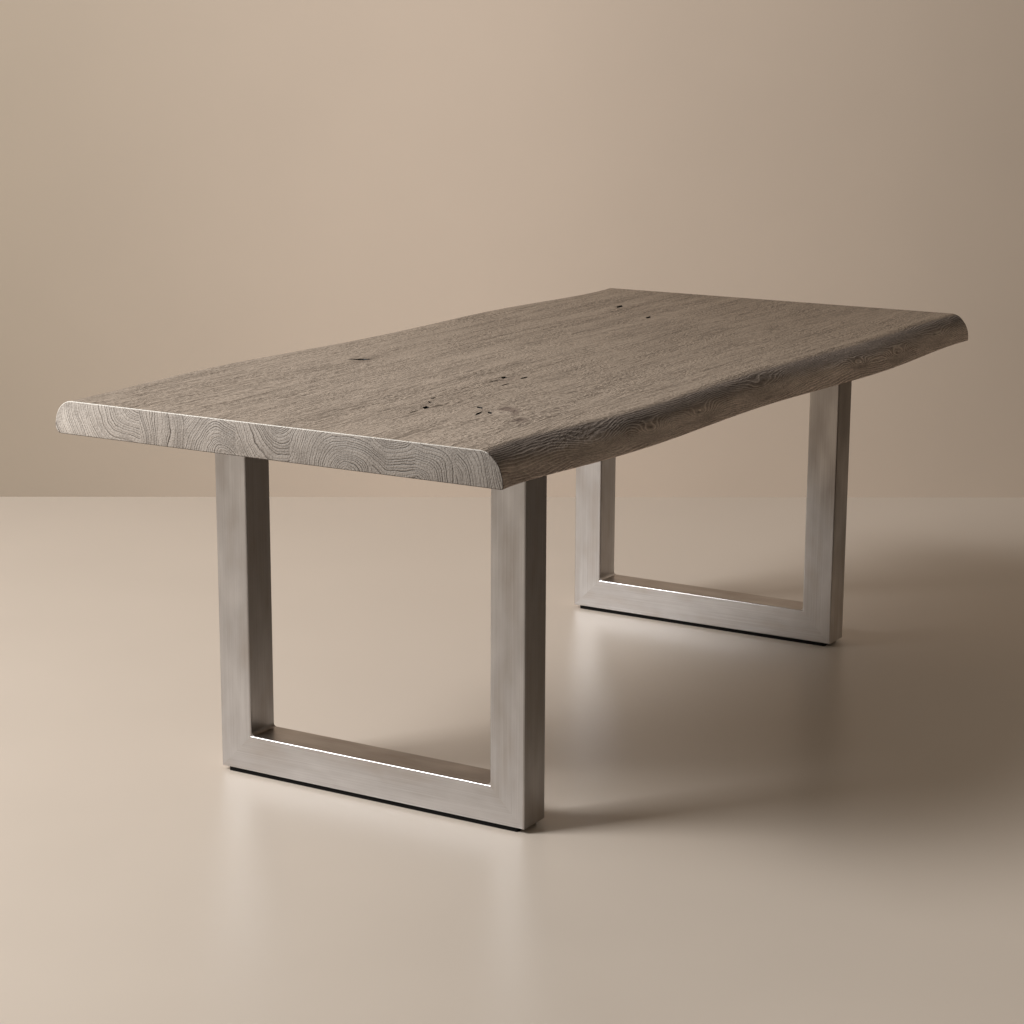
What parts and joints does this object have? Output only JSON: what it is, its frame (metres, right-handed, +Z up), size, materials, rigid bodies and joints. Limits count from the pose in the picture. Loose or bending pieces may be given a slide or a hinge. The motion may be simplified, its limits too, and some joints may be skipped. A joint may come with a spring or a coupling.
{
  "type": "dining table",
  "caption": "Dining table with a thick glued wooden top that keeps the tree's wavy edge along both long sides, on two U-shaped frames of brushed steel tube with black glide strips.",
  "frame": {"origin": "on the floor under the middle of the table", "axes": "+Z up, +X along the table from the left frame to the right one, +Y from the front edge to the back edge"},
  "size_m": [2.02, 1.0592, 0.76],
  "materials": {
    "board_wood": "grey-brown limed and oiled, sanded smooth",
    "live_edge_wood": "grey-brown limed and oiled, natural edge brushed and darker",
    "frame_steel": "stainless, ground lengthwise",
    "weld_steel": "ground weld bead",
    "plate_steel": "stainless flat bar, mill finish",
    "fastener_steel": "plain stainless",
    "insert_steel": "zinc plated",
    "glide_rubber": "matt black"
  },
  "bodies": {
    "root": {"back_live_edge_board": "live_edge_wood", "top_board_1": "board_wood", "top_board_2": "board_wood", "top_board_3": "board_wood", "top_board_4": "board_wood", "top_board_5": "board_wood", "top_board_6": "board_wood", "front_live_edge_board": "live_edge_wood", "left_front_upright": "frame_steel", "left_back_upright": "frame_steel", "left_bottom_rail": "frame_steel", "left_frame_welds": "weld_steel", "left_mounting_plate": "plate_steel", "left_plate_washers": "fastener_steel", "left_plate_screws": "fastener_steel", "left_threaded_inserts": "insert_steel", "left_glide_strip": "glide_rubber", "right_front_upright": "frame_steel", "right_back_upright": "frame_steel", "right_bottom_rail": "frame_steel", "right_frame_welds": "weld_steel", "right_mounting_plate": "plate_steel", "right_plate_washers": "fastener_steel", "right_plate_screws": "fastener_steel", "right_threaded_inserts": "insert_steel", "right_glide_strip": "glide_rubber"}
  },
  "joints": []
}
